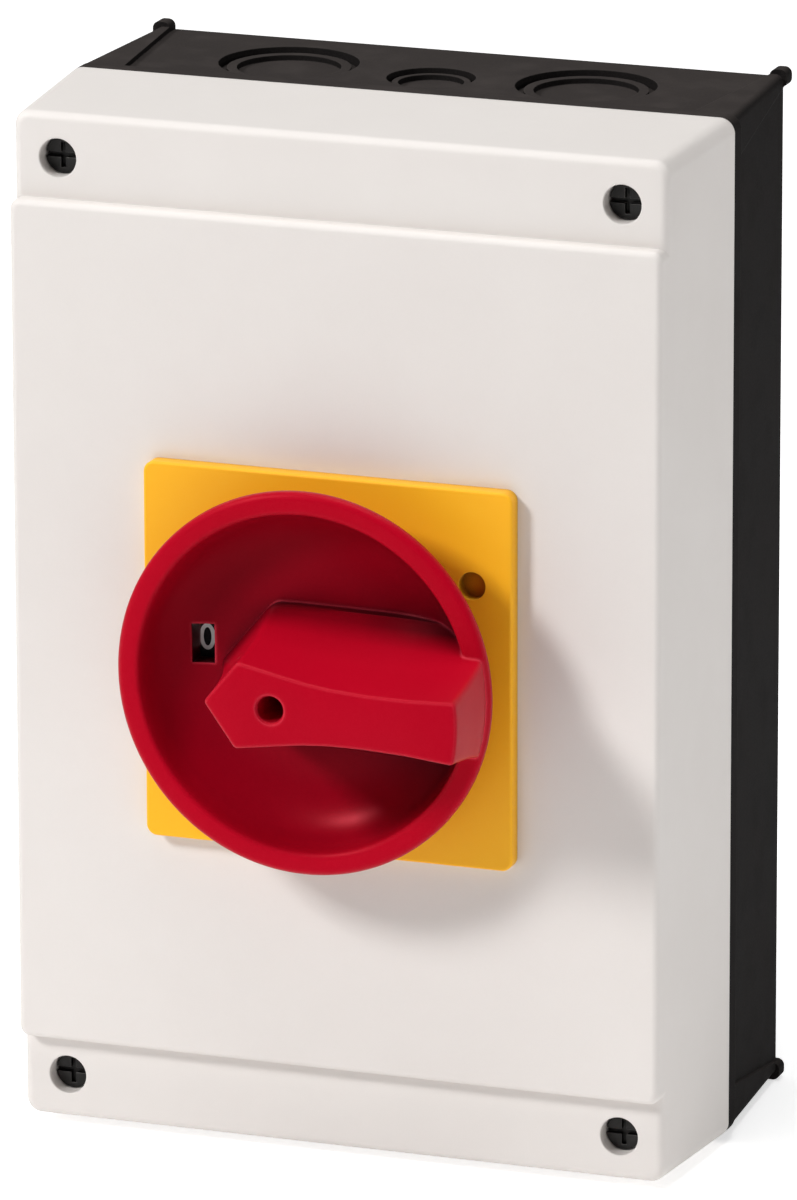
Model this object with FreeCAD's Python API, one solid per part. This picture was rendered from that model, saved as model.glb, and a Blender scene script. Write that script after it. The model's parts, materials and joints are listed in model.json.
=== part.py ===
import FreeCAD, Part
import math
import os

os.makedirs("parts", exist_ok=True)

# Rotary isolator switch in a wall enclosure. Millimetres.
# X is to the right, +Y goes into the wall, Z is up. The origin is the centre of the back face.
Vec = FreeCAD.Vector

# enclosure
BOX_W = 160.0
BOX_H = 240.0
BASE_DEPTH = 50.0
BACK_W = 152.2
BACK_H = 239.4
RIM_DEPTH = 4.6
RIM_STEP_X = 1.0
RIM_STEP_Z = 0.3
BACK_WALL = 3.0
CORNER_R = 3.6
BASE_CORNER_R = 1.8
RIDGE_BACK_W = 2.5
RIDGE_FRONT_W = 10.5
RIDGE_PROUD = 1.2
SIDE_RECESS = 0.9
FOOT_PROUD = 1.2
FOOT_W = 4.2
COVER_FRONT_Y = -90.0
COVER_INSET_X = 2.4
COVER_INSET_Z = 1.3
PANEL_Y = -94.0
PANEL_HALF_H = 99.0
FRONT_EDGE_R = 2.0
PANEL_EDGE_R = 1.5
COVER_WALL = 2.5
GROOVE_DEPTH = 1.8
GROOVE_OUTER = (78.9, 118.9, 2.6)
GROOVE_INNER = (77.1, 117.1, 1.0)

# cover screws and wall fixings
SCREW_X = 67.0
SCREW_Z = 108.4
SCREW_WELL_R = 4.5
SCREW_SEAT_Y = -82.5
SCREW_R = 2.4
WALL_HOLE_X = 50.0
WALL_HOLE_Z = 108.0
WALL_HOLE_R = 2.75

# cable entries, all closed by thin walls
ENTRY_BIG_X = 36.0
ENTRY_BIG_R = 16.25
ENTRY_SMALL_R = 10.25
ENTRY_Y = -24.0
ENTRY_SMALL_Y = -28.0

# front plate, knob and grip; the switch axis is a little below the middle of the box
AXIS_Z = -2.0
PLATE_SIDE = 88.0
PLATE_T = 4.0
KNOB_R = 44.5
KNOB_BACK_R = 32.0
KNOB_BACK_Y = -98.8
RIM_FRONT_Y = -114.4
KNOB_KNEE_Y = -111.6
RIM_BAND = 5.5
DISH_Y = -103.0
DISH_R = 29.0
GRIP_FRONT_Y = -135.1
HUB_R = 12.0
GRIP_HOLE_R = 3.1
GRIP_LEAN = 2.0

# switch block
PLATE_FRONT_Y = -8.0
REAR_PLATE_T = 4.0
CHAMBER_DEPTH = 15.0
CHAMBER_HALF_X = 36.0
CHAMBER_HALF_Z = 38.0
CHAMBER_FLOOR = 3.0
LATCH_DEPTH = 12.0
LATCH_COVER_T = 2.0
SHAFT_SIDE = 8.0
SHAFT_FRONT_Y = -108.0
JOURNAL_R = 7.5
CAM_HIGH = 13.0
CAM_LOW = 9.0
NOSE_GAP = 0.2
NOSE_R = 2.0
CONTACT_STROKE = 4.0
TIE_X = 30.0
TIE_Z = 31.0
INDEX_HALF = 9.0
TONGUE_HALF_W = 5.0


def block(x0, x1, y0, y1, z0, z1):
    low = Vec(min(x0, x1), min(y0, y1), min(z0, z1))
    return Part.makeBox(abs(x1 - x0), abs(y1 - y0), abs(z1 - z0), low)


def rod(x, z, radius, y0, y1):
    return Part.makeCylinder(radius, abs(y1 - y0), Vec(x, min(y0, y1), z), Vec(0, 1, 0))


def rodX(y, z, radius, x0, x1):
    return Part.makeCylinder(radius, abs(x1 - x0), Vec(min(x0, x1), y, z), Vec(1, 0, 0))


def rodZ(x, y, radius, z0, z1):
    return Part.makeCylinder(radius, abs(z1 - z0), Vec(x, y, min(z0, z1)), Vec(0, 0, 1))


def tube(x, z, outer, inner, y0, y1):
    bore = rod(x, z, inner, min(y0, y1) - 1, max(y0, y1) + 1)
    return rod(x, z, outer, y0, y1).cut(bore)


def cone(x, z, r0, y0, r1, y1):
    return Part.makeCone(r0, r1, abs(y1 - y0), Vec(x, y0, z), Vec(0, 1 if y1 > y0 else -1, 0))


def rectangleCorners(half_w, half_h, y):
    return [Vec(half_w, y, half_h), Vec(-half_w, y, half_h),
            Vec(-half_w, y, -half_h), Vec(half_w, y, -half_h)]


# A box whose front and back rectangles differ, with its four long edges rounded.
def taperedBox(half_w0, half_h0, y0, half_w1, half_h1, y1, radius):
    first = rectangleCorners(half_w0, half_h0, y0)
    second = rectangleCorners(half_w1, half_h1, y1)
    faces = [Part.Face(Part.makePolygon(first[::-1] + first[-1:])),
             Part.Face(Part.makePolygon(second + second[:1]))]
    for index in range(4):
        other = (index + 1) % 4
        side = [first[index], first[other], second[other], second[index], first[index]]
        faces.append(Part.Face(Part.makePolygon(side)))
    solid = Part.Solid(Part.Shell(faces))
    if solid.Volume < 0:
        solid.reverse()
    long_edges = [e for e in solid.Edges if e.BoundBox.YLength > abs(y1 - y0) * 0.99]
    return solid.makeFillet(radius, long_edges)


def plateShape(half_w, half_h, radius, y0, y1):
    plate = block(-half_w, half_w, y0, y1, -half_h, half_h)
    long_edges = [e for e in plate.Edges if e.BoundBox.YLength > abs(y1 - y0) * 0.99]
    return plate.makeFillet(radius, long_edges)


# Rounds the edges that lie in the front face.
def roundFront(solid, front_y, radius):
    edges = [e for e in solid.Edges if e.BoundBox.YMax < front_y + 0.01]
    return solid.makeFillet(radius, edges)


def outlineSolid(points, y0, y1):
    wire = Part.makePolygon([Vec(x, y0, z) for x, z in points + points[:1]])
    return Part.Face(wire).extrude(Vec(0, y1 - y0, 0))


def group(solids):
    return Part.makeCompound(solids)


def fourCorners(x, z):
    return [(sx * x, sz * z) for sx in (-1, 1) for sz in (-1, 1)]


def save(node, shape):
    shape.exportStep("parts/" + node + ".step")


# Everything that belongs to the switch is drawn about the shaft and then lowered to the axis.
def onAxis(shape):
    return shape.translated(Vec(0, 0, AXIS_Z))


def halfTurn(shape):
    return shape.rotated(Vec(0, 0, 0), Vec(0, 1, 0), 180)


# enclosure base
def makeEnclosureBase():
    rim_y = -BASE_DEPTH + RIM_DEPTH
    back_w = BACK_W / 2
    back_h = BACK_H / 2
    front_w = BOX_W / 2 - RIM_STEP_X
    front_h = BOX_H / 2 - RIM_STEP_Z
    body = taperedBox(back_w, back_h, 0, front_w, front_h, rim_y, BASE_CORNER_R)
    rim = plateShape(BOX_W / 2, BOX_H / 2, CORNER_R, -BASE_DEPTH, rim_y)
    body = body.fuse(rim)

    # the top and bottom walls lie back between corner ridges that widen towards the front
    recess_z = back_h - RIDGE_PROUD
    ridge_w0 = back_w - RIDGE_BACK_W
    ridge_w1 = front_w - RIDGE_FRONT_W
    skin = taperedBox(ridge_w0, 130, 0, ridge_w1, 130, rim_y, 1)
    skin = skin.cut(block(-90, 90, 1, rim_y - 1, -recess_z, recess_z))
    body = body.cut(skin)

    # so do the side walls, by a little less
    ridge_h0 = back_h - RIDGE_BACK_W
    ridge_h1 = front_h - RIDGE_FRONT_W
    skin = taperedBox(90, ridge_h0, 0, 90, ridge_h1, rim_y, 1)
    inner_side = taperedBox(back_w - SIDE_RECESS, 130, 0, front_w - SIDE_RECESS, 130, rim_y, 1)
    body = body.cut(skin.cut(inner_side))

    # small feet at the four back corners
    for sx in (-1, 1):
        for sz in (-1, 1):
            foot_x = back_w + FOOT_PROUD
            foot_z = back_h + FOOT_PROUD
            foot = block(sx * (foot_x - FOOT_W), sx * foot_x, -3.8, 0,
                         sz * (foot_z - FOOT_W), sz * foot_z)
            long_edges = [e for e in foot.Edges if abs(e.Length - 3.8) < 0.01]
            body = body.fuse(foot.makeFillet(1.6, long_edges))

    cavity = taperedBox(72.6, 115.0, -BACK_WALL, 75.2, 115.2, -BASE_DEPTH, 4)
    body = body.cut(cavity)

    # corner blocks that take the cover screws
    for x, z in fourCorners(SCREW_X, SCREW_Z):
        sx = math.copysign(1, x)
        sz = math.copysign(1, z)
        post = rod(x, z, 6.5, -2, -BASE_DEPTH)
        post = post.fuse(block(x, sx * 73.5, -2, -BASE_DEPTH, z - 6.5, z + 6.5))
        post = post.fuse(block(x - 6.5, x + 6.5, -2, -BASE_DEPTH, z, sz * 116))
        post = post.fuse(block(x, sx * 72.5, -2, -BASE_DEPTH, z, sz * 116))
        body = body.fuse(post)
    for x, z in fourCorners(SCREW_X, SCREW_Z):
        body = body.cut(rod(x, z, 3.6, -37, -BASE_DEPTH - 1))
        body = body.cut(rod(x, z, 2.7, -31, -40))

    # wall fixing holes and the bosses for the mounting plate
    for x, z in fourCorners(WALL_HOLE_X, WALL_HOLE_Z):
        body = body.fuse(rod(x, z, 6, -1, -5))
        body = body.cut(rod(x, z, WALL_HOLE_R, 1, -6))
    for x, z in fourCorners(54, 85):
        body = body.fuse(rod(x, z, 5, -1, -6))
        body = body.cut(rod(x, z, 1.6, -2, -7))

    # closed cable entries, seen as stepped rings in the top and bottom walls
    for side in (-1, 1):
        face_z = side * recess_z
        for x, radius, y in ((-ENTRY_BIG_X, ENTRY_BIG_R, ENTRY_Y),
                             (0, ENTRY_SMALL_R, ENTRY_SMALL_Y),
                             (ENTRY_BIG_X, ENTRY_BIG_R, ENTRY_Y)):
            pad = rodZ(x, y, radius + 1.5, face_z - side * 4.2, face_z - side * 1.5)
            groove = rodZ(x, y, radius, face_z - side * 2.3, face_z + side)
            land = rodZ(x, y, radius * 0.88, face_z - side * 2.3, face_z - side * 1.0)
            centre = rodZ(x, y, radius * 0.74, face_z - side * 2.3, face_z + side)
            body = body.fuse(pad).cut(groove).fuse(land.cut(centre))
    return body.removeSplitter()


def makeThreadedInserts():
    solids = []
    for x, z in fourCorners(SCREW_X, SCREW_Z):
        solids.append(tube(x, z, 3.6, SCREW_R + 0.08, -37, -49.5))
    return group(solids)


def makeMountingPlate():
    plate = plateShape(62, 95, 3, -6, PLATE_FRONT_Y)
    for x, z in fourCorners(54, 85):
        plate = plate.cut(rod(x, z, 2.1, -5, -9))
    for x, z in fourCorners(40, 24):
        plate = plate.cut(rod(x, z + AXIS_Z, 1.9, -5, -9))
    for x, z in ((-54, 12), (-54, -16)):
        plate = plate.cut(rod(x, z, 1.6, -5, -9))
    return plate


def panHeadScrew(x, z, shank_r, head_r, head_h, seat_y, tip_y):
    head = rod(x, z, head_r, seat_y, seat_y - head_h)
    head = head.cut(block(x - head_r, x + head_r, seat_y - head_h - 1, seat_y - head_h * 0.5,
                          z - 0.5, z + 0.5))
    return head.fuse(rod(x, z, shank_r, seat_y, tip_y))


def makeMountingPlateScrews():
    return group([panHeadScrew(x, z, 1.6, 3.6, 2.4, PLATE_FRONT_Y, -2.2)
                  for x, z in fourCorners(54, 85)])


# switch block
def chamberBack(level):
    return PLATE_FRONT_Y - REAR_PLATE_T - CHAMBER_DEPTH * (level - 1)


def makeSwitchRearPlate():
    back = PLATE_FRONT_Y
    plate = plateShape(44, 30, 3, back, back - REAR_PLATE_T)
    plate = plate.fuse(plateShape(CHAMBER_HALF_X, CHAMBER_HALF_Z, 2, back, back - REAR_PLATE_T))
    plate = plate.cut(rod(0, 0, 6, back + 1, back - REAR_PLATE_T - 1))
    for x, z in fourCorners(40, 24):
        plate = plate.cut(rod(x, z, 1.9, back + 1, back - REAR_PLATE_T - 1))
    for x, z in fourCorners(TIE_X, TIE_Z):
        plate = plate.cut(rod(x, z, 1.5, back - 1, back - REAR_PLATE_T - 1))
    return onAxis(plate.removeSplitter())


def makeSwitchFixingScrews():
    seat = PLATE_FRONT_Y - REAR_PLATE_T
    return onAxis(group([panHeadScrew(x, z, 1.9, 3.4, 2.4, seat, -6.2)
                         for x, z in fourCorners(40, 24)]))


def makeContactChamber(level):
    back = chamberBack(level)
    front = back - CHAMBER_DEPTH
    floor = back - CHAMBER_FLOOR
    body = plateShape(CHAMBER_HALF_X, CHAMBER_HALF_Z, 2, back, front)
    for side in (-1, 1):
        body = body.fuse(block(8, 14.9, back - 1, front + 2, side * 37, side * 47))
        body = body.fuse(block(8, 30, back - 1, back - 3, side * 37, side * 47))
    body = body.cut(rod(0, 0, 14.5, floor, front - 1))
    body = body.cut(rod(0, 0, JOURNAL_R + 0.06, back + 1, floor - 1))
    body = body.cut(block(10, 20, floor, front - 1, -4.1, 4.1))
    body = body.cut(block(18.4, 33, floor, front - 1, -22, 22))
    for side in (-1, 1):
        body = body.cut(block(14.9, 18.6, floor, front - 1, side * 12.8, side * 21))
        body = body.cut(block(14.9, 16.7, back - 5.5, front - 1, side * 12.8, side * 40))
        body = body.cut(rodX(back - 9, side * 42.5, 1.9, 9, 16))
    for x, z in fourCorners(TIE_X, TIE_Z):
        body = body.cut(rod(x, z, 1.5, back + 1, front - 1))
    body = body.removeSplitter()
    if level == 2:
        body = halfTurn(body)
    return onAxis(body)


def makeFixedContacts(level):
    back = chamberBack(level)
    solids = []
    for side in (-1, 1):
        strip = block(15, 16.6, back - 12.5, back - 5.5, side * 13, side * 46)
        strip = strip.fuse(block(16.6, 17.75, back - 11.5, back - 6.5, side * 15, side * 19))
        strip = strip.cut(rodX(back - 9, side * 42.5, 1.9, 14, 17))
        solids.append(strip)
    shape = group(solids)
    if level == 2:
        shape = halfTurn(shape)
    return onAxis(shape)


def makeTerminalPieces():
    clamps = []
    screws = []
    for level in (1, 2, 3):
        back = chamberBack(level)
        for side in (-1, 1):
            z = side * 42.5
            clamp = block(16.6, 18.6, back - 13, back - 5, z - 3.3, z + 3.3)
            clamp = clamp.cut(rodX(back - 9, z, 1.9, 16, 19))
            head = rodX(back - 9, z, 3.3, 18.6, 21.8)
            head = head.cut(block(20.6, 22, back - 13, back - 5, z - 0.5, z + 0.5))
            screw = head.fuse(rodX(back - 9, z, 1.9, 10, 18.7))
            if level == 2:
                clamp = halfTurn(clamp)
                screw = halfTurn(screw)
            clamps.append(clamp)
            screws.append(screw)
    return onAxis(group(clamps)), onAxis(group(screws))


def makeContactSpring(level):
    turns = 5
    wire_r = 0.35
    coil_r = 2.9
    rest_x = 25.9
    end_x = 32.6
    pitch = (end_x - rest_x) / turns
    helix = Part.makeHelix(pitch, end_x - rest_x, coil_r)
    profile = Part.Wire([Part.makeCircle(wire_r, Vec(coil_r, 0, 0), Vec(0, 1, 0))])
    spring = Part.Wire(helix.Edges).makePipeShell([profile], True, True)
    spring = spring.rotated(Vec(0, 0, 0), Vec(0, 1, 0), 90)
    spring = spring.translated(Vec(rest_x, chamberBack(level) - 9, 0))
    if level == 2:
        spring = halfTurn(spring)
    return onAxis(spring)


def makeContactBridge(level):
    back = chamberBack(level)
    bar = block(23, 25.5, back - 12.5, back - 5.5, -20, 20)
    bar = bar.cut(rodX(back - 9, 0, 1.5, 22, 27))
    for side in (-1, 1):
        bar = bar.fuse(block(21.8, 23, back - 11.5, back - 6.5, side * 15, side * 19))
    if level == 2:
        bar = halfTurn(bar)
    return onAxis(bar)


def makePlunger(level):
    back = chamberBack(level)
    high = back - 3.4
    low = back - 14.6
    tip_x = CAM_HIGH + NOSE_GAP + NOSE_R
    body = block(tip_x + 2, 23, low, high, -4, 4)
    wedge = [(tip_x, -NOSE_R), (tip_x + 2, -4), (tip_x + 2, 4), (tip_x, NOSE_R)]
    body = body.fuse(outlineSolid(wedge, low, high))
    body = body.fuse(rod(tip_x, 0, NOSE_R, low, high))
    body = body.fuse(rodX(back - 9, 0, 1.5, 22.5, 28)).removeSplitter()
    if level == 2:
        body = halfTurn(body)
    return onAxis(body)


def camRadius(angle):
    fall = CAM_HIGH - CAM_LOW
    if angle <= 90:
        return CAM_HIGH - fall * angle / 90.0
    if angle <= 140:
        return CAM_LOW
    if angle <= 310:
        part = (angle - 140) / 170.0
        return CAM_LOW + fall * (0.5 - 0.5 * math.cos(math.pi * part))
    return CAM_HIGH


def makeCam(level):
    back = chamberBack(level)
    points = []
    for angle in range(0, 360, 5):
        turn = math.radians(angle)
        radius = camRadius(angle)
        points.append((radius * math.cos(turn), radius * math.sin(turn)))
    disc = outlineSolid(points, back - 3.3, back - 14.8)
    cam = disc.fuse(rod(0, 0, JOURNAL_R, back - 0.1, back - 4))
    half = SHAFT_SIDE / 2
    cam = cam.cut(block(-half, half, back + 1, back - 16, -half, half))
    if level == 2:
        cam = halfTurn(cam)
    return onAxis(cam)


def latchBack():
    return chamberBack(4)


def makeLatchHousing():
    back = latchBack()
    front = back - LATCH_DEPTH
    body = plateShape(CHAMBER_HALF_X, CHAMBER_HALF_Z, 2, back, front)
    body = body.cut(plateShape(16, 20, 2, back - 2.5, front - 1))
    body = body.cut(rod(0, 0, JOURNAL_R + 0.06, back + 1, back - 4))
    for side in (-1, 1):
        body = body.cut(block(side * 9.2, side * 10, back - 2.5, front - 1, -24, 24))
    for x, z in fourCorners(TIE_X, TIE_Z):
        body = body.cut(rod(x, z, 1.5, back + 1, front - 1))
    return onAxis(body)


def makeLatchCover():
    back = latchBack() - LATCH_DEPTH
    plate = plateShape(CHAMBER_HALF_X, CHAMBER_HALF_Z, 2, back, back - LATCH_COVER_T)
    plate = plate.cut(rod(0, 0, JOURNAL_R + 0.06, back + 1, back - LATCH_COVER_T - 1))
    for x, z in fourCorners(TIE_X, TIE_Z):
        plate = plate.cut(rod(x, z, 1.5, back + 1, back - LATCH_COVER_T - 1))
    return onAxis(plate)


def makeIndexCam():
    back = latchBack()
    body = plateShape(INDEX_HALF, INDEX_HALF, 3, back - 2.8, back - LATCH_DEPTH + 0.3)
    body = body.fuse(rod(0, 0, JOURNAL_R, back - 0.1, back - LATCH_DEPTH - LATCH_COVER_T))
    half = SHAFT_SIDE / 2
    return onAxis(body.cut(block(-half, half, back + 1, back - 20, -half, half)))


def makeIndexSprings():
    back = latchBack()
    solids = []
    for side in (-1, 1):
        solids.append(block(side * 9.3, side * 9.9, back - 3, back - LATCH_DEPTH + 0.4, -23.8, 23.8))
    return onAxis(group(solids))


def makeTieScrews():
    seat = latchBack() - LATCH_DEPTH - LATCH_COVER_T
    return onAxis(group([panHeadScrew(x, z, 1.5, 2.9, 2.2, seat, PLATE_FRONT_Y - 1)
                         for x, z in fourCorners(TIE_X, TIE_Z)]))


def makeEarthTerminal():
    bar = block(-58.5, -49.5, PLATE_FRONT_Y, -18, -22, 18)
    for z in (4, -8):
        bar = bar.cut(rodX(-13, z, 2.4, -60, -48))
        bar = bar.cut(rod(-54, z, 1.6, -13, -19))
    for z in (12, -16):
        bar = bar.cut(rod(-54, z, 1.6, -7, -19))
    return bar


def makeEarthScrews():
    solids = [panHeadScrew(-54, z, 1.6, 3.0, 2.0, -18, -6.3) for z in (12, -16)]
    solids += [panHeadScrew(-54, z, 1.6, 3.0, 2.0, -18, -15.0) for z in (4, -8)]
    return group(solids)


# shaft
def makeSwitchShaft():
    half = SHAFT_SIDE / 2
    shaft = block(-half, half, PLATE_FRONT_Y - 1, SHAFT_FRONT_Y, -half, half)
    return onAxis(shaft)


def makeShaftRing():
    half = SHAFT_SIDE / 2
    y = latchBack() - LATCH_DEPTH - LATCH_COVER_T - 0.3
    return onAxis(rod(0, 0, 7.2, y, y - 1.2).cut(block(-half, half, y + 1, y - 3, -half, half)))


# cover
def coverHalf(y, inset, half):
    part = (-BASE_DEPTH - y) / (-BASE_DEPTH - COVER_FRONT_Y)
    return half - inset * part


def grooveRing(back_y):
    ring = plateShape(*GROOVE_OUTER, back_y, -BASE_DEPTH - GROOVE_DEPTH)
    return ring.cut(plateShape(*GROOVE_INNER, back_y + 1, -BASE_DEPTH - 3))


def makeEnclosureCover():
    strip_w = coverHalf(COVER_FRONT_Y, COVER_INSET_X, BOX_W / 2)
    strip_h = coverHalf(COVER_FRONT_Y, COVER_INSET_Z, BOX_H / 2)
    body = taperedBox(BOX_W / 2, BOX_H / 2, -BASE_DEPTH, strip_w, strip_h, COVER_FRONT_Y, CORNER_R)
    body = roundFront(body, COVER_FRONT_Y, FRONT_EDGE_R)
    # the middle panel stands in front of the two strips that hold the screws
    panel_w = coverHalf(PANEL_Y, COVER_INSET_X, BOX_W / 2)
    panel = taperedBox(BOX_W / 2, PANEL_HALF_H, -BASE_DEPTH, panel_w, PANEL_HALF_H, PANEL_Y, 2.4)
    panel = roundFront(panel, PANEL_Y, PANEL_EDGE_R)
    body = body.fuse(panel)

    rim_inner = (75.2, 115.2)
    low = taperedBox(rim_inner[0], rim_inner[1], -BASE_DEPTH, rim_inner[0], rim_inner[1], -57, 4)
    upper_w = coverHalf(-57, COVER_INSET_X, BOX_W / 2) - COVER_WALL
    upper_h = coverHalf(-57, COVER_INSET_Z, BOX_H / 2) - COVER_WALL
    front_w = coverHalf(COVER_FRONT_Y + COVER_WALL, COVER_INSET_X, BOX_W / 2) - COVER_WALL
    front_h = coverHalf(COVER_FRONT_Y + COVER_WALL, COVER_INSET_Z, BOX_H / 2) - COVER_WALL
    high = taperedBox(upper_w, upper_h, -57, front_w, front_h, COVER_FRONT_Y + COVER_WALL, 4)
    deep = block(-front_w + 1, front_w - 1, -80, PANEL_Y + COVER_WALL,
                 -PANEL_HALF_H + COVER_WALL, PANEL_HALF_H - COVER_WALL)
    body = body.cut(low).cut(high).cut(deep)

    for x, z in fourCorners(SCREW_X, SCREW_Z):
        sx = math.copysign(1, x)
        sz = math.copysign(1, z)
        post = rod(x, z, 6.5, -BASE_DEPTH, COVER_FRONT_Y + 1)
        post = post.fuse(block(x, sx * 75.5, -BASE_DEPTH, COVER_FRONT_Y + 1, z - 6.5, z + 6.5))
        post = post.fuse(block(x - 6.5, x + 6.5, -BASE_DEPTH, COVER_FRONT_Y + 1, z, sz * 116.3))
        post = post.fuse(block(x, sx * 75.0, -BASE_DEPTH, COVER_FRONT_Y + 1, z, sz * 115.8))
        body = body.fuse(post)
    for x, z in fourCorners(SCREW_X, SCREW_Z):
        body = body.cut(rod(x, z, SCREW_WELL_R, SCREW_SEAT_Y, PANEL_Y))
        body = body.cut(rod(x, z, SCREW_R + 0.3, -BASE_DEPTH + 1, SCREW_SEAT_Y - 1))
        body = body.cut(rod(x, z, 4.0, -BASE_DEPTH + 1, -BASE_DEPTH - 1.5))

    body = body.cut(grooveRing(-BASE_DEPTH + 1))
    body = body.cut(rod(0, AXIS_Z, 15, -80, PANEL_Y - 1))
    for x, z in fourCorners(36, 36):
        body = body.cut(rod(x, z + AXIS_Z, 1.6, -88, PANEL_Y - 1))
    return body.removeSplitter()


def makeCoverSeal():
    return grooveRing(-BASE_DEPTH)


def makeCoverScrews():
    solids = []
    for x, z in fourCorners(SCREW_X, SCREW_Z):
        head = rod(x, z, 4.2, SCREW_SEAT_Y, SCREW_SEAT_Y - 4)
        front = SCREW_SEAT_Y - 4
        head = head.cut(block(x - 5, x + 5, front - 1, front + 1.6, z - 0.6, z + 0.6))
        head = head.cut(block(x - 0.6, x + 0.6, front - 1, front + 1.6, z - 3, z + 3))
        solids.append(head.fuse(rod(x, z, SCREW_R, SCREW_SEAT_Y, -36)))
    return group(solids)


def makeScrewWashers():
    solids = []
    for x, z in fourCorners(SCREW_X, SCREW_Z):
        solids.append(tube(x, z, 4.0, SCREW_R, -BASE_DEPTH - 0.3, -BASE_DEPTH - 1.5))
    return group(solids)


def makeFrontPlate():
    half = PLATE_SIDE / 2
    front = PANEL_Y - PLATE_T
    plate = plateShape(half, half, 2.5, PANEL_Y, front)
    plate = roundFront(plate, front, 0.6)
    plate = plate.cut(rod(0, 0, 15, PANEL_Y + 1, front - 1))
    plate = plate.cut(rod(34.6, 22, 3.2, front + 3.2, front - 1))
    for x, z in fourCorners(36, 36):
        plate = plate.cut(rod(x, z, 1.6, PANEL_Y + 1, front + 1.4))
    return onAxis(plate)


def makePlateScrews():
    seat = PANEL_Y + COVER_WALL
    solids = []
    for x, z in fourCorners(36, 36):
        solids.append(rod(x, z, 3.0, seat, seat + 2).fuse(rod(x, z, 1.6, seat, PANEL_Y - PLATE_T + 1.6)))
    return onAxis(group(solids))


def makeHubBush():
    seat = PANEL_Y + COVER_WALL
    bush = tube(0, 0, 15, HUB_R + 0.06, seat, PANEL_Y - PLATE_T)
    return onAxis(bush.fuse(tube(0, 0, 18, HUB_R + 0.06, seat, seat + 1.8)))


def makeIndicatorRing():
    y = PANEL_Y - PLATE_T
    return onAxis(tube(0, 0, 31, 15.5, y, y - 0.5))


def makeHubSeal():
    y = PANEL_Y - PLATE_T
    return onAxis(tube(0, 0, 14.8, HUB_R + 0.06, y, y - 0.5))


# handle
def gripOutline(tip, corner_x, corner_z, neck_x, neck_z, tail_x, tail_z, y):
    points = [(tip, 0), (corner_x, corner_z), (neck_x, neck_z), (tail_x, tail_z),
              (tail_x, -tail_z), (neck_x, -neck_z), (corner_x, -corner_z), (tip, 0)]
    return Part.makePolygon([Vec(x, y, z) for x, z in points])


def makeHandleKnob():
    # bowl: the outer wall narrows towards the plate, the dish is open to the front
    shell = cone(0, 0, KNOB_BACK_R, KNOB_BACK_Y, KNOB_R, KNOB_KNEE_Y)
    shell = shell.fuse(rod(0, 0, KNOB_R, KNOB_KNEE_Y, RIM_FRONT_Y))
    shell = roundFront(shell, RIM_FRONT_Y, 1.8)
    dish = cone(0, 0, DISH_R, DISH_Y, KNOB_R - RIM_BAND, RIM_FRONT_Y)
    dish = dish.fuse(rod(0, 0, KNOB_R - RIM_BAND, RIM_FRONT_Y, RIM_FRONT_Y - 3))
    body = shell.cut(dish)

    # grip: pointed head over the axis, bar that runs out to the rim; it stands a touch past its mark
    low = gripOutline(-22.5, -11, 15, 13, 15, 40.5, 15.5, DISH_Y + 1)
    mid = gripOutline(-18.5, -9, 11.5, 13, 8.8, 41.8, 9.6, -122)
    top = gripOutline(-15.7, -8, 10, 13, 6.5, 42.2, 7.1, GRIP_FRONT_Y)
    grip = Part.makeLoft([low, mid], True, True).fuse(Part.makeLoft([mid, top], True, True))
    limit = cone(0, 0, KNOB_BACK_R - 1.2, KNOB_BACK_Y, KNOB_R - 1.2, KNOB_KNEE_Y)
    limit = limit.fuse(rod(0, 0, KNOB_R - 1.2, KNOB_KNEE_Y, GRIP_FRONT_Y - 5))
    grip = roundFront(grip.common(limit), GRIP_FRONT_Y, 0.7)
    body = body.fuse(grip.rotated(Vec(0, 0, 0), Vec(0, 1, 0), GRIP_LEAN))

    # hub with the socket, the screw hole, the sight window and the tongue's slot
    body = body.fuse(rod(0, 0, HUB_R, KNOB_BACK_Y - 0.5, -86.5))
    body = body.cut(rod(0, 0, 9, -85, -112))
    body = body.cut(rod(0, 0, 1.7, -111, -119))
    body = body.cut(rod(0, 0, GRIP_HOLE_R, -115, GRIP_FRONT_Y - 1))
    body = body.cut(tube(0, 0, HUB_R + 1, HUB_R - 0.6, -88.3, -89.6))
    body = body.cut(block(-29.5, -24.5, KNOB_BACK_Y + 1, -106, 0.5, 9))
    slot = block(-TONGUE_HALF_W - 0.3, TONGUE_HALF_W + 0.3, KNOB_BACK_Y + 1, -101.2, -40, -14)
    body = body.cut(slot)
    return onAxis(body.removeSplitter())


def makeDriveSocket():
    half = SHAFT_SIDE / 2 + 0.1
    socket = rod(0, 0, 9, -86.5, -112)
    socket = socket.cut(block(-half, half, -85, SHAFT_FRONT_Y - 0.5, -half, half))
    return onAxis(socket.cut(rod(0, 0, 1.6, SHAFT_FRONT_Y - 0.4, -113)))


def makeHandleScrew():
    head = rod(0, 0, 2.9, -115, -117.5)
    head = head.cut(block(-3, 3, -118, -116.6, -0.45, 0.45))
    head = head.cut(block(-0.45, 0.45, -118, -116.6, -2, 2))
    return onAxis(head.fuse(rod(0, 0, 1.6, -109.2, -115)))


def makeHubClip():
    return onAxis(tube(0, 0, 15.5, HUB_R - 0.6, -88.4, -89.5))


def makePadlockTongue():
    tongue = block(-TONGUE_HALF_W, TONGUE_HALF_W, -99.2, -100.9, -31.6, -17)
    return onAxis(tongue.cut(rod(0, -25.5, 3.2, -98, -102)))


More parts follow.
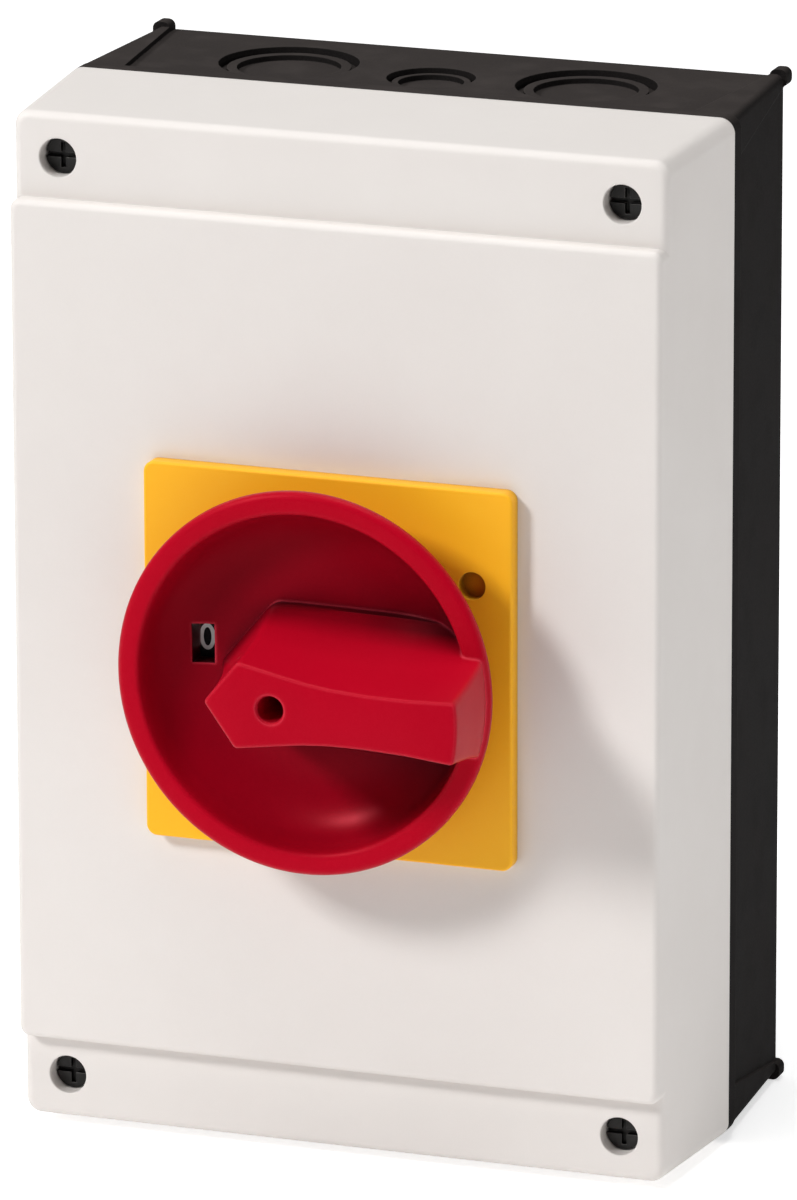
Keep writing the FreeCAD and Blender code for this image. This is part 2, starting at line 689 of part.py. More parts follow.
save("enclosure_base", makeEnclosureBase())
save("threaded_inserts", makeThreadedInserts())
save("mounting_plate", makeMountingPlate())
save("mounting_plate_screws", makeMountingPlateScrews())
save("switch_rear_plate", makeSwitchRearPlate())
save("switch_fixing_screws", makeSwitchFixingScrews())
for number in (1, 2, 3):
    save("contact_chamber_" + str(number), makeContactChamber(number))
    save("fixed_contacts_" + str(number), makeFixedContacts(number))
    save("contact_spring_" + str(number), makeContactSpring(number))
    save("contact_bridge_" + str(number), makeContactBridge(number))
    save("plunger_" + str(number), makePlunger(number))
    save("cam_" + str(number), makeCam(number))
terminal_clamps, terminal_screws = makeTerminalPieces()
save("terminal_clamps", terminal_clamps)
save("terminal_screws", terminal_screws)
save("latch_housing", makeLatchHousing())
save("latch_cover", makeLatchCover())
save("index_cam", makeIndexCam())
save("index_springs", makeIndexSprings())
save("tie_screws", makeTieScrews())
save("earth_terminal", makeEarthTerminal())
save("earth_screws", makeEarthScrews())
save("switch_shaft", makeSwitchShaft())
save("shaft_ring", makeShaftRing())
save("enclosure_cover", makeEnclosureCover())
save("cover_seal", makeCoverSeal())
save("cover_screws", makeCoverScrews())
save("screw_washers", makeScrewWashers())
save("front_plate", makeFrontPlate())
save("plate_screws", makePlateScrews())
save("hub_bush", makeHubBush())
save("hub_seal", makeHubSeal())
save("indicator_ring", makeIndicatorRing())
save("handle_knob", makeHandleKnob())
save("drive_socket", makeDriveSocket())
save("handle_screw", makeHandleScrew())
save("hub_clip", makeHubClip())
save("padlock_tongue", makePadlockTongue())
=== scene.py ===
import bpy
import bmesh
import json
import math
from mathutils import Matrix, Vector


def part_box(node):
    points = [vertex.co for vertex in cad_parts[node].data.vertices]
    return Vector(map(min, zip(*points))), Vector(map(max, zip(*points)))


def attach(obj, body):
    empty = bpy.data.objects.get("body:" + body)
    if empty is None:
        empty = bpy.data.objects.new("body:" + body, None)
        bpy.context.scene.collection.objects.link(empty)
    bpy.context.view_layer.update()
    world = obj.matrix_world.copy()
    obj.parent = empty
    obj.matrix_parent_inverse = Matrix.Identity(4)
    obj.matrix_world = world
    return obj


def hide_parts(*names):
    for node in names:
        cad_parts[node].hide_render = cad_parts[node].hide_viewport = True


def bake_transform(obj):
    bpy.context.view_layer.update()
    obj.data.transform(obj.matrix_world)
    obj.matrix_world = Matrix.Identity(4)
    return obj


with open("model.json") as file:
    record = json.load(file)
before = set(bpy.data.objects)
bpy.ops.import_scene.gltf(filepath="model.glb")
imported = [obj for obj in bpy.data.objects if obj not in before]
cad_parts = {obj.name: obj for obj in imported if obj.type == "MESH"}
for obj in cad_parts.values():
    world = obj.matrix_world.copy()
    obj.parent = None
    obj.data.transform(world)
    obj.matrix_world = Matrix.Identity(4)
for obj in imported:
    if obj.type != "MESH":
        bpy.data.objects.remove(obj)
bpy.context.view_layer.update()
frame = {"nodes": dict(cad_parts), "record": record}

nodes = frame["nodes"]
mm = 0.001
print("frame loaded:", len(nodes), "nodes")


# shader helpers
class Flow:
    # one socket; the usual signs on it add Math nodes
    def __init__(self, finish, socket):
        self.finish = finish
        self.socket = socket

    def calc(self, operation, first, second):
        return self.finish.add("ShaderNodeMath", {"operation": operation}, {0: first, 1: second})

    def __add__(self, other):
        return self.calc("ADD", self, other)

    __radd__ = __add__

    def __sub__(self, other):
        return self.calc("SUBTRACT", self, other)

    def __rsub__(self, other):
        return self.calc("SUBTRACT", other, self)

    def __mul__(self, other):
        return self.calc("MULTIPLY", self, other)

    __rmul__ = __mul__


def setStops(ramp, stops):
    # a new ramp has two stops already
    for index, (spot, shade) in enumerate(stops):
        stop = ramp.elements[index] if index < 2 else ramp.elements.new(spot)
        stop.position = spot
        stop.color = (shade, shade, shade, 1)


class Finish:
    # a material with one Principled shader; add() makes any other node
    def __init__(self, name):
        self.material = bpy.data.materials.new(name)
        self.material.use_nodes = True
        self.tree = self.material.node_tree
        self.tree.nodes.clear()
        output = self.tree.nodes.new("ShaderNodeOutputMaterial")
        self.shader = self.tree.nodes.new("ShaderNodeBsdfPrincipled")
        self.tree.links.new(self.shader.outputs[0], output.inputs[0])
        self.place = self.add("ShaderNodeTexCoord", {}, {}, "Object")

    def add(self, kind, settings, inputs, output=0):
        node = self.tree.nodes.new(kind)
        for key, value in settings.items():
            if key == "stops":
                setStops(node.color_ramp, value)
            else:
                setattr(node, key, value)
        for key, value in inputs.items():
            if isinstance(value, Flow):
                self.tree.links.new(value.socket, node.inputs[key])
            else:
                node.inputs[key].default_value = value
        return Flow(self, node.outputs[output])

    def feed(self, name, value):
        if isinstance(value, Flow):
            self.tree.links.new(value.socket, self.shader.inputs[name])
        else:
            self.shader.inputs[name].default_value = value

    def noise(self, scale, detail=2.0, roughness=0.5):
        sockets = {"Vector": self.place, "Scale": scale, "Detail": detail, "Roughness": roughness}
        return self.add("ShaderNodeTexNoise", {}, sockets)

    def span(self, value, ends):
        # 0 below the first end, 1 above the second
        stops = [(ends[0], 0.0), (ends[1], 1.0)]
        return self.add("ShaderNodeValToRGB", {"stops": stops}, {"Fac": value})

    def tint(self, factor, first, second):
        # sockets 6 and 7 are the two colours, output 2 the mixed one
        return self.add("ShaderNodeMix", {"data_type": "RGBA"}, {0: factor, 6: first, 7: second}, 2)


def rgb(red, green, blue):
    return (red, green, blue, 1.0)


edgeWearAndHighlight = {"samples": 6, "span": (0.01, 0.22)}


def edgeMask(finish, radius):
    # 1 where the surface turns sharply, 0 on the flats
    rounded = finish.add("ShaderNodeBevel", {"samples": edgeWearAndHighlight["samples"]}, {"Radius": radius})
    flat = finish.add("ShaderNodeNewGeometry", {}, {}, "Normal")
    match = finish.add("ShaderNodeVectorMath", {"operation": "DOT_PRODUCT"}, {0: rounded, 1: flat}, "Value")
    return finish.span(1 - match, edgeWearAndHighlight["span"]), rounded


# shared by every moulded plastic: noise is (scale, detail, roughness), span is the part of it that shows
moulding = {"grainNoise": (2.0, 0.6), "mottleNoise": (38.0, 4.0, 0.6), "mottleSpan": (0.32, 0.72),
            "smudgeNoise": (95.0, 3.0, 0.55), "smudgeSpan": (0.48, 0.75), "speckSpan": (0.35, 0.8),
            "dustSpan": (0.5, 0.98), "evenDust": 0.68, "hollowSamples": 10,
            "mottleRough": 0.06, "smudgeRough": 0.05, "dustRough": 0.10, "wearRough": 0.07,
            "fineGrain": 0.6, "coarseGrain": 0.4, "coarseScale": 0.21, "bumpDepth": 0.00006, "index": 1.48}


def mouldedPlastic(name, look):
    # grain from the tool, faint flow mottling, rubbed edges and a little settled dust; on the knob the edge
    # colour is a painted highlight, and where a dark colour is given it paints shade into hollows
    finish = Finish(name)
    wearAndHighlight, rounded = edgeMask(finish, look["edge"] * mm)
    grain = finish.noise(look["grain"], *moulding["grainNoise"])
    mottle = finish.span(finish.noise(*moulding["mottleNoise"]), moulding["mottleSpan"])
    smudge = finish.span(finish.noise(*moulding["smudgeNoise"]), moulding["smudgeSpan"])
    base = finish.tint(mottle * look["mottle"], look["colour"], look["shade"])
    speck = finish.span(grain, moulding["speckSpan"]) * look["speck"]
    base = finish.tint(speck, base, look["wornAndHighlight"])
    # edge colour: rubbed edges, and on the knob a painted highlight along every edge
    base = finish.tint(wearAndHighlight * look["wearAndHighlight"], base, look["wornAndHighlight"])
    facing = finish.add("ShaderNodeNewGeometry", {}, {}, "Normal")
    upward = finish.add("ShaderNodeSeparateXYZ", {}, {0: facing}, "Z")
    patchy = moulding["evenDust"] + (1 - moulding["evenDust"]) * smudge
    dust = finish.span(upward, moulding["dustSpan"]) * patchy * look["dust"]
    base = finish.tint(dust, base, look["dustColour"])
    if "deep" in look:
        # painted shade: hollows take a darker colour where ambient occlusion finds them hidden, most of all
        # behind the given depth
        settings = {"samples": moulding["hollowSamples"], "only_local": look["alone"]}
        sky = finish.add("ShaderNodeAmbientOcclusion", settings, {"Distance": look["reach"] * mm}, "AO")
        hidden = 1 - finish.span(sky, look["deepSpan"])
        depth = finish.add("ShaderNodeSeparateXYZ", {}, {0: finish.place}, "Y")
        low, high = look["depthSpan"]
        behind = finish.span((depth - low * mm) * (1 / (high - low) / mm), (0.0, 1.0))
        shadeEverywhere = look["deepShare"] * (1 - look["hiddenPart"])
        shadeInHollows = look["deepShare"] * look["hiddenPart"] * hidden
        share = behind * (shadeEverywhere + shadeInHollows)
        # the painted shade spares open edges, so the painted highlight there stays bright
        base = finish.tint(share * (1 - wearAndHighlight * (1 - hidden) * look["crest"]), base, look["deep"])
    finish.feed("Base Color", base)
    rough = look["rough"] + moulding["mottleRough"] * mottle + moulding["smudgeRough"] * smudge
    finish.feed("Roughness", rough + moulding["dustRough"] * dust - moulding["wearRough"] * wearAndHighlight)
    coarse = finish.noise(look["grain"] * moulding["coarseScale"])
    height = grain * moulding["fineGrain"] + moulding["coarseGrain"] * coarse
    bump = {"Strength": look["bump"], "Distance": moulding["bumpDepth"], "Height": height, "Normal": rounded}
    finish.feed("Normal", finish.add("ShaderNodeBump", {}, bump))
    finish.feed("IOR", moulding["index"])
    finish.feed("Specular IOR Level", look.get("shine", 0.5))
    finish.feed("Specular Tint", look.get("gloss", rgb(1, 1, 1)))
    return finish.material


plating = {"cloudNoise": (240.0, 4.0, 0.62), "cloudSpan": (0.3, 0.72), "cloudTint": 0.5, "wearTint": 0.5,
           "streakScale": 1200.0, "streakDetail": 3.0, "cloudRough": 0.12, "streakRough": 0.10,
           "wearRough": 0.06, "bump": 0.16, "bumpDepth": 0.00004}


def platedMetal(name, look):
    # fine turning marks, cloudy plating and brighter edges
    finish = Finish(name)
    wearAndHighlight, rounded = edgeMask(finish, look["edge"] * mm)
    cloud = finish.span(finish.noise(*plating["cloudNoise"]), plating["cloudSpan"])
    stretched = finish.add("ShaderNodeMapping", {}, {"Vector": finish.place, "Scale": look["brush"]})
    lines = {"Vector": stretched, "Scale": plating["streakScale"], "Detail": plating["streakDetail"]}
    streak = finish.add("ShaderNodeTexNoise", {}, lines)
    base = finish.tint(cloud * plating["cloudTint"], look["colour"], look["shade"])
    base = finish.tint(wearAndHighlight * plating["wearTint"], base, look["wornAndHighlight"])
    finish.feed("Base Color", base)
    finish.feed("Metallic", 1.0)
    rough = look["rough"] + plating["cloudRough"] * cloud + plating["streakRough"] * streak
    finish.feed("Roughness", rough - plating["wearRough"] * wearAndHighlight)
    bump = {"Strength": plating["bump"], "Distance": plating["bumpDepth"],
            "Height": streak, "Normal": rounded}
    finish.feed("Normal", finish.add("ShaderNodeBump", {}, bump))
    return finish.material


def softRubber(name, look):
    finish = Finish(name)
    pores = {"Vector": finish.place, "Scale": look["cellScale"]}
    cells = finish.add("ShaderNodeTexVoronoi", {}, pores, "Distance")
    cloud = finish.span(finish.noise(*look["cloudNoise"]), look["cloudSpan"])
    finish.feed("Base Color", finish.tint(cloud * look["cloudTint"], look["colour"], look["shade"]))
    finish.feed("Roughness", look["rough"] + look["cloudRough"] * cloud)
    bump = {"Strength": look["bump"], "Distance": look["bumpDepth"], "Height": cells}
    finish.feed("Normal", finish.add("ShaderNodeBump", {}, bump))
    return finish.material


# edge, reach and depthSpan are in millimetres; grain is a noise scale; the rest are shares from 0 to 1
coverLook = {"colour": rgb(0.752, 0.712, 0.682), "shade": rgb(0.720, 0.678, 0.648),
             "wornAndHighlight": rgb(0.82, 0.79, 0.765), "dustColour": rgb(0.74, 0.72, 0.69),
             "edge": 0.6, "grain": 2600.0, "mottle": 0.55, "speck": 0.10,
             "wearAndHighlight": 0.25, "dust": 0.12, "rough": 0.46, "bump": 0.22, "shine": 0.35}
baseLook = {"colour": rgb(0.0085, 0.0075, 0.0075), "shade": rgb(0.016, 0.0135, 0.013),
            "wornAndHighlight": rgb(0.060, 0.054, 0.050), "dustColour": rgb(0.125, 0.107, 0.100),
            "edge": 0.35, "grain": 2200.0, "mottle": 0.6, "speck": 0.16,
            "wearAndHighlight": 0.40, "dust": 0.32, "rough": 0.72, "bump": 0.30, "shine": 0.05}
# the plate's dark colour paints shade on its sides near the cover, where the cover and knob hide it
plateLook = {"colour": rgb(1.0, 0.495, 0.016), "shade": rgb(0.970, 0.450, 0.012),
             "wornAndHighlight": rgb(1.0, 0.62, 0.10), "dustColour": rgb(0.90, 0.62, 0.25),
             "edge": 0.3, "grain": 3200.0, "mottle": 0.5, "speck": 0.08,
             "wearAndHighlight": 0.35, "dust": 0.05, "rough": 0.42, "bump": 0.16, "shine": 0.18,
             "deep": rgb(0.10, 0.035, 0.004), "reach": 6.0, "deepSpan": (0.20, 0.70), "deepShare": 0.85,
             "hiddenPart": 1.0, "depthSpan": (-99.0, -98.5), "alone": False, "crest": 0.0}
# the knob's edge colour paints highlight lines along its edges, and its dark colour paints shade into the
# dish
knobLook = {"colour": rgb(0.440, 0.0006, 0.013), "shade": rgb(0.375, 0.0004, 0.010),
            "wornAndHighlight": rgb(0.95, 0.075, 0.120), "dustColour": rgb(0.50, 0.01, 0.025),
            "edge": 1.3, "grain": 2800.0, "mottle": 0.5, "speck": 0.04,
            "wearAndHighlight": 0.80, "dust": 0.03, "rough": 0.30, "bump": 0.10, "shine": 0.22,
            "gloss": rgb(1.0, 0.10, 0.14),
            "deep": rgb(0.022, 0.0003, 0.002), "reach": 20.0, "deepSpan": (0.44, 0.92), "deepShare": 0.96,
            "hiddenPart": 0.70, "depthSpan": (-114.6, -108.5), "alone": True, "crest": 0.9}
tongueLook = dict(knobLook, colour=rgb(0.40, 0.002, 0.014), rough=0.42, deepShare=0.0)
switchLook = dict(baseLook, colour=rgb(0.030, 0.030, 0.034), shade=rgb(0.045, 0.045, 0.050),
                  dust=0.05, shine=0.3)
camLook = {"colour": rgb(0.70, 0.66, 0.56), "shade": rgb(0.62, 0.58, 0.48), "wornAndHighlight": rgb(0.80, 0.77, 0.68),
           "dustColour": rgb(0.6, 0.57, 0.5), "edge": 0.2, "grain": 2600.0, "mottle": 0.6, "speck": 0.08,
           "wearAndHighlight": 0.3, "dust": 0.05, "rough": 0.42, "bump": 0.15}
discLook = dict(baseLook, colour=rgb(0.008, 0.008, 0.009), dust=0.0, rough=0.4)
markLook = dict(coverLook, colour=rgb(0.82, 0.82, 0.80), shade=rgb(0.74, 0.74, 0.72), dust=0.0, edge=0.05)
screwLook = {"colour": rgb(0.040, 0.039, 0.038), "shade": rgb(0.024, 0.023, 0.023),
             "wornAndHighlight": rgb(0.34, 0.33, 0.32), "edge": 0.15, "brush": (1.0, 0.2, 1.0), "rough": 0.36}
steelLook = {"colour": rgb(0.60, 0.61, 0.62), "shade": rgb(0.47, 0.48, 0.49), "wornAndHighlight": rgb(0.80, 0.80, 0.80),
             "edge": 0.2, "brush": (0.15, 1.0, 1.0), "rough": 0.26}
springLook = dict(steelLook, colour=rgb(0.42, 0.42, 0.43), rough=0.22)
brassLook = {"colour": rgb(0.76, 0.56, 0.24), "shade": rgb(0.60, 0.42, 0.17), "wornAndHighlight": rgb(0.90, 0.74, 0.42),
             "edge": 0.2, "brush": (1.0, 0.2, 1.0), "rough": 0.24}
copperLook = dict(brassLook, colour=rgb(0.80, 0.42, 0.26), shade=rgb(0.62, 0.30, 0.18),
                  wornAndHighlight=rgb(0.88, 0.80, 0.72))
sealLook = {"colour": rgb(0.035, 0.035, 0.036), "shade": rgb(0.055, 0.055, 0.057),
            "cellScale": 1400.0, "cloudNoise": (120.0, 3.0, 0.6), "cloudSpan": (0.3, 0.7), "cloudTint": 0.6,
            "rough": 0.72, "cloudRough": 0.15, "bump": 0.35, "bumpDepth": 0.00008}

finishes = {
    "cover_grey": mouldedPlastic("coverGrey", coverLook),
    "base_black": mouldedPlastic("baseBlack", baseLook),
    "plate_yellow": mouldedPlastic("plateYellow", plateLook),
    "knob_red": mouldedPlastic("knobRed", knobLook),
    "tongue_red": mouldedPlastic("tongueRed", tongueLook),
    "switch_plastic": mouldedPlastic("switchPlastic", switchLook),
    "cam_plastic": mouldedPlastic("camPlastic", camLook),
    "indicator_black": mouldedPlastic("discBlack", discLook),
    "screw_steel": platedMetal("screwDark", screwLook),
    "zinc_steel": platedMetal("zincSteel", steelLook),
    "spring_steel": platedMetal("springSteel", springLook),
    "brass": platedMetal("turnedBrass", brassLook),
    "copper": platedMetal("stampedCopper", copperLook),
    "seal_rubber": softRubber("sealRubber", sealLook),
}
markWhite = mouldedPlastic("markWhite", markLook)
for part in frame["record"]["subparts"]:
    shown = nodes[part["node"]]
    shown.data.materials.clear()
    shown.data.materials.append(finishes[part["material_slot"]])
print("finishes on", len(nodes), "nodes")


# mesh helpers
def newPiece(name, points, faces, material):
    mesh = bpy.data.meshes.new(name)
    mesh.from_pydata([Vector(p) * mm for p in points], [], faces)
    mesh.validate()
    piece = bpy.data.objects.new(name, mesh)
    bpy.context.scene.collection.objects.link(piece)
    mesh.materials.append(material)
    return piece


def tidyNormals(piece):
    work = bmesh.new()
    work.from_mesh(piece.data)
    bmesh.ops.remove_doubles(work, verts=work.verts, dist=1e-6)
    bmesh.ops.recalc_face_normals(work, faces=work.faces)
    work.to_mesh(piece.data)
    work.free()


def carve(piece, tool, operation):
    # boolean with a helper mesh, which is then thrown away
    change = piece.modifiers.new("carve", "BOOLEAN")
    change.object = tool
    change.operation = operation
    change.solver = "EXACT"
    shape = bpy.data.meshes.new_from_object(piece.evaluated_get(bpy.context.evaluated_depsgraph_get()))
    piece.modifiers.clear()
    old = piece.data
    piece.data = shape
    bpy.data.meshes.remove(old)
    bpy.data.objects.remove(tool)


def smoothByAngle(piece, degrees):
    for face in piece.data.polygons:
        face.use_smooth = True
    work = bmesh.new()
    work.from_mesh(piece.data)
    limit = math.radians(degrees)
    for edge in work.edges:
        if len(edge.link_faces) == 2 and edge.calc_face_angle(0) > limit:
            edge.smooth = False
    work.to_mesh(piece.data)
    work.free()


def turned(name, profile, steps, material):
    # a closed profile of (radius, y), turned about the switch axis
    points = []
    rings = []
    for radius, y in profile:
        if radius < 1e-6:
            rings.append([len(points)])
            points.append((0, y, knob["axisZ"]))
            continue
        ring = []
        for step in range(steps):
            angle = 2 * math.pi * step / steps
            ring.append(len(points))
            points.append((radius * math.cos(angle), y, knob["axisZ"] + radius * math.sin(angle)))
        rings.append(ring)
    faces = []
    for index in range(len(rings) - 1):
        first, second = rings[index], rings[index + 1]
        for step in range(steps):
            after = (step + 1) % steps
            if len(first) == 1:
                faces.append((first[0], second[after], second[step]))
            elif len(second) == 1:
                faces.append((first[step], first[after], second[0]))
            else:
                faces.append((first[step], first[after], second[after], second[step]))
    piece = newPiece(name, points, faces, material)
    tidyNormals(piece)
    return piece


def roundCorner(previous, corner, following, radius, steps):
    # points along the arc that rounds one corner of an outline
    before = (Vector(previous) - Vector(corner)).normalized()
    after = (Vector(following) - Vector(corner)).normalized()
    half = before.angle(after) / 2
    reach = radius / math.tan(half)
    centre = Vector(corner) + (before + after).normalized() * radius / math.sin(half)
    start = Vector(corner) + before * reach
    end = Vector(corner) + after * reach
    arc = []
    for step in range(steps + 1):
        part = step / steps
        spoke = (start - centre).lerp(end - centre, part).normalized() * radius
        arc.append(tuple(centre + spoke))
    return arc


def prism(name, outline, yFrom, yTo, material):
    count = len(outline)
    points = [(x, yFrom, z) for x, z in outline] + [(x, yTo, z) for x, z in outline]
    faces = [tuple(range(count)), tuple(range(2 * count - 1, count - 1, -1))]
    for index in range(count):
        after = (index + 1) % count
        faces.append((index, index + count, after + count, after))
    piece = newPiece(name, points, faces, material)
    tidyNormals(piece)
    return piece


# knob
knob = {"axisZ": -2.0, "radius": 44.5, "rimFront": -114.4, "rimBand": 5.3, "rimFlat": 2.6, "rimRound": 1.5,
        "lipRound": 1.0, "knee": -111.6, "wallSteps": (-103.0, -107.0, -110.6), "backRadius": 32.0,
        "back": -98.8, "floor": -103.0, "dishFlat": 22.5, "dishFrom": 8, "dishSteps": 15,
        "hubRadius": 12.0, "hubBack": -86.5, "clipGroove": 11.4, "clipBack": -88.3, "clipFront": -89.6,
        "gripFront": -135.1, "gripEnd": 44.0, "lean": 2.0, "steps": 160, "crease": 28}
# the drive socket's bore, the screw's clearance and the access hole in the grip
bore = {"from": -80, "to": -140, "socketRadius": 9.0, "socketFloor": -112.0, "screwRadius": 1.7,
        "holeRadius": 3.1, "holeFloor": -115.0, "flare": 0.5, "steps": 64}
# the sight window and the padlock slot, measured from the axis; the window ends at the socket's floor
opening = {"windowX": (-30.1, -25.0), "windowZ": (-0.2, 9.0), "slotX": (-5.3, 5.3), "slotZ": (-40.0, -14.0),
           "from": -97.5, "slotTo": -101.2}


def outerRadius(y):
    # the bowl's outer wall widens towards the rim as a cone
    part = (y - knob["back"]) / (knob["knee"] - knob["back"])
    return knob["backRadius"] + (knob["radius"] - knob["backRadius"]) * min(max(part, 0), 1)


def arcPoints(centreR, centreY, radius, fromDeg, toDeg, steps):
    points = []
    for step in range(steps + 1):
        angle = math.radians(fromDeg + (toDeg - fromDeg) * step / steps)
        points.append((centreR + radius * math.cos(angle), centreY + radius * math.sin(angle)))
    return points


def knobProfile():
    # from the hub's back over the outer wall and the rim into the dish; the bare tenths round small corners
    rim = knob["radius"]
    front = knob["rimFront"]
    inner = rim - knob["rimBand"]
    hub = knob["hubRadius"]
    groove = knob["clipGroove"]
    profile = [(0, knob["hubBack"]), (groove, knob["hubBack"]), (hub, knob["hubBack"] - 0.6),
               (hub, knob["clipBack"]), (groove, knob["clipBack"]), (groove, knob["clipFront"]),
               (hub, knob["clipFront"]), (hub, knob["back"]), (knob["backRadius"] - 0.8, knob["back"]),
               (knob["backRadius"] - 0.2, knob["back"] - 0.2), (knob["backRadius"] + 0.2, knob["back"] - 0.6)]
    profile += [(outerRadius(y), y) for y in knob["wallSteps"]]
    profile += [(rim - 0.35, knob["knee"] + 0.2), (rim, knob["knee"] - 0.7)]
    outerRound = knob["rimRound"]
    profile += arcPoints(rim - outerRound, front + outerRound, outerRound, 0, -90, 7)[1:]
    profile += [(rim - knob["rimFlat"], front)]
    lip = knob["lipRound"]
    profile += arcPoints(inner + lip, front + lip, lip, -90, -160, 6)
    # the dish is a bowl, steep at the rim and flat in the middle
    for step in range(knob["dishSteps"] + 1):
        angle = math.radians(knob["dishFrom"] + (90 - knob["dishFrom"]) * step / knob["dishSteps"])
        radius = knob["dishFlat"] + (inner - 0.15 - knob["dishFlat"]) * math.cos(angle)
        profile.append((radius, front + lip + (knob["floor"] - front - lip) * math.sin(angle)))
    profile += [(hub, knob["floor"]), (0, knob["floor"])]
    return profile


# half width of the grip along its length, at the front face and at the dish floor
gripShape = {"frontTip": -15.7, "floorTip": -22.8,
             "front": [(-8.0, 10.0), (-4.0, 9.3), (2.0, 8.2), (8.0, 7.2), (14.0, 6.6), (22.0, 6.3),
                       (32.0, 6.45), (43.4, 7.2)],
             "floor": [(-11.0, 15.2), (-6.0, 15.6), (1.0, 15.8), (7.0, 15.9), (14.0, 16.0), (22.0, 16.1),
                       (32.0, 15.9), (43.4, 15.0)],
             "ends": (0.62, 0.2, -0.2, -0.62), "endLength": 3, "step": 0.875, "flare": 0.45,
             "flarePower": 3.2, "tipRound": (1.2, 1.5), "sideRound": (1.2, 2.5), "endRound": 1.0,
             "wallGap": 1.0, "levels": 24, "cornerSteps": 5, "edge": 0.45, "edgeSteps": 4, "sunk": 1.2}


def pullIn(x, z, reach):
    # a point beyond the bowl's outer form comes back to it
    if x > 0 and math.hypot(x, z) > reach:
        return (math.sqrt(reach * reach - z * z), z)
    return (x, z)


def gripOutline(depth, y):
    # depth 0 at the front face, 1 at the dish floor; the flanks are hollow and end in a step at the foot
    part = min(depth / gripShape["step"], 1)
    spread = (1 - gripShape["flare"]) * part + gripShape["flare"] * part ** gripShape["flarePower"]
    tip = gripShape["frontTip"] + (gripShape["floorTip"] - gripShape["frontTip"]) * spread
    reach = knob["gripEnd"]
    if y > knob["rimFront"]:
        reach = min(outerRadius(y) - gripShape["wallGap"], reach)
    upper = []
    for (xFront, zFront), (xFloor, zFloor) in zip(gripShape["front"], gripShape["floor"]):
        upper.append(pullIn(xFront + (xFloor - xFront) * spread, zFront + (zFloor - zFront) * spread, reach))
    tailX, tailZ = upper[-1]
    tail = [pullIn(tailX + gripShape["endLength"], tailZ * share, reach) for share in gripShape["ends"]]
    corners = [(tip, 0.0)] + upper + tail + [(x, -z) for x, z in reversed(upper)]
    last = len(upper)
    tipRound = gripShape["tipRound"][0] + gripShape["tipRound"][1] * depth
    sideRound = gripShape["sideRound"][0] + gripShape["sideRound"][1] * depth
    endRound = gripShape["endRound"]
    radii = {0: tipRound, 1: sideRound, len(corners) - 1: sideRound,
             last: endRound, last + len(tail) + 1: endRound}
    outline = []
    for index, corner in enumerate(corners):
        if index in radii:
            outline += roundCorner(corners[index - 1], corner, corners[(index + 1) % len(corners)],
                                   radii[index], gripShape["cornerSteps"])
        else:
            outline.append(corner)
    return outline


def shrink(outline, amount):
    count = len(outline)
    result = []
    for index in range(count):
        before = Vector(outline[index]) - Vector(outline[index - 1])
        after = Vector(outline[(index + 1) % count]) - Vector(outline[index])
        way = (before.normalized() + after.normalized()).normalized()
        result.append((outline[index][0] + way[1] * amount, outline[index][1] - way[0] * amount))
    return result


def makeGrip():
    front = knob["gripFront"]
    floor = knob["floor"] + gripShape["sunk"]
    edge = gripShape["edge"]
    rings = []
    for step in range(gripShape["edgeSteps"] + 1):
        angle = math.radians(90 - 90 * step / gripShape["edgeSteps"])
        depthY = front + edge * (1 - math.sin(angle))
        inset = edge * (1 - math.cos(angle))
        rings.append((depthY, inset, 0.0))
    for step in range(1, gripShape["levels"] + 1):
        depth = step / gripShape["levels"]
        rings.append((front + edge + (floor - front - edge) * depth, 0.0, depth))
    points = []
    ringIndex = []
    for depthY, inset, depth in rings:
        outline = gripOutline(depth, depthY)
        if inset > 0:
            outline = shrink(outline, inset)
        ring = []
        for x, z in outline:
            ring.append(len(points))
            points.append((x, depthY, z))
        ringIndex.append(ring)
    count = len(ringIndex[0])
    faces = [tuple(ringIndex[0]), tuple(reversed(ringIndex[-1]))]
    for first, second in zip(ringIndex, ringIndex[1:]):
        for index in range(count):
            after = (index + 1) % count
            faces.append((first[index], second[index], second[after], first[after]))
    grip = newPiece("gripTool", points, faces, finishes["knob_red"])
    tidyNormals(grip)
    lean = Matrix.Rotation(math.radians(knob["lean"]), 4, "Y")
    grip.data.transform(Matrix.Translation((0, 0, knob["axisZ"] * mm)) @ lean)
    return grip


def rectangle(xSpan, zSpan):
    # z is measured from the switch axis
    low, high = (knob["axisZ"] + z for z in zSpan)
    return [(xSpan[0], low), (xSpan[1], low), (xSpan[1], high), (xSpan[0], high)]


def makeKnob():
    red = finishes["knob_red"]
    body = turned("knobBody", knobProfile(), knob["steps"], red)
    carve(body, makeGrip(), "UNION")
    socket, screw, hole = bore["socketRadius"], bore["screwRadius"], bore["holeRadius"]
    mouth = hole + bore["flare"]
    drill = [(0, bore["from"]), (socket, bore["from"]), (socket, bore["socketFloor"]),
             (screw, bore["socketFloor"]), (screw, bore["holeFloor"]), (hole, bore["holeFloor"]),
             (hole, knob["gripFront"] + bore["flare"]), (mouth, knob["gripFront"] - 0.1),
             (mouth, bore["to"]), (0, bore["to"])]
    carve(body, turned("boreTool", drill, bore["steps"], red), "DIFFERENCE")
    window = rectangle(opening["windowX"], opening["windowZ"])
    carve(body, prism("windowTool", window, opening["from"], bore["socketFloor"], red), "DIFFERENCE")
    slot = rectangle(opening["slotX"], opening["slotZ"])
    carve(body, prism("slotTool", slot, opening["from"], opening["slotTo"], red), "DIFFERENCE")
    tidyNormals(body)
    smoothByAngle(body, knob["crease"])
    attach(body, "handle")
    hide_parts("handle_knob")


makeKnob()
print("knob made")

# marks on the indicator disc
mark = {"y": -98.5, "lift": 0.06, "sunk": 0.02, "offX": -28.5, "offZ": 4.5, "height": 6.2, "width": 3.8,
        "stroke": 0.95, "steps": 40}


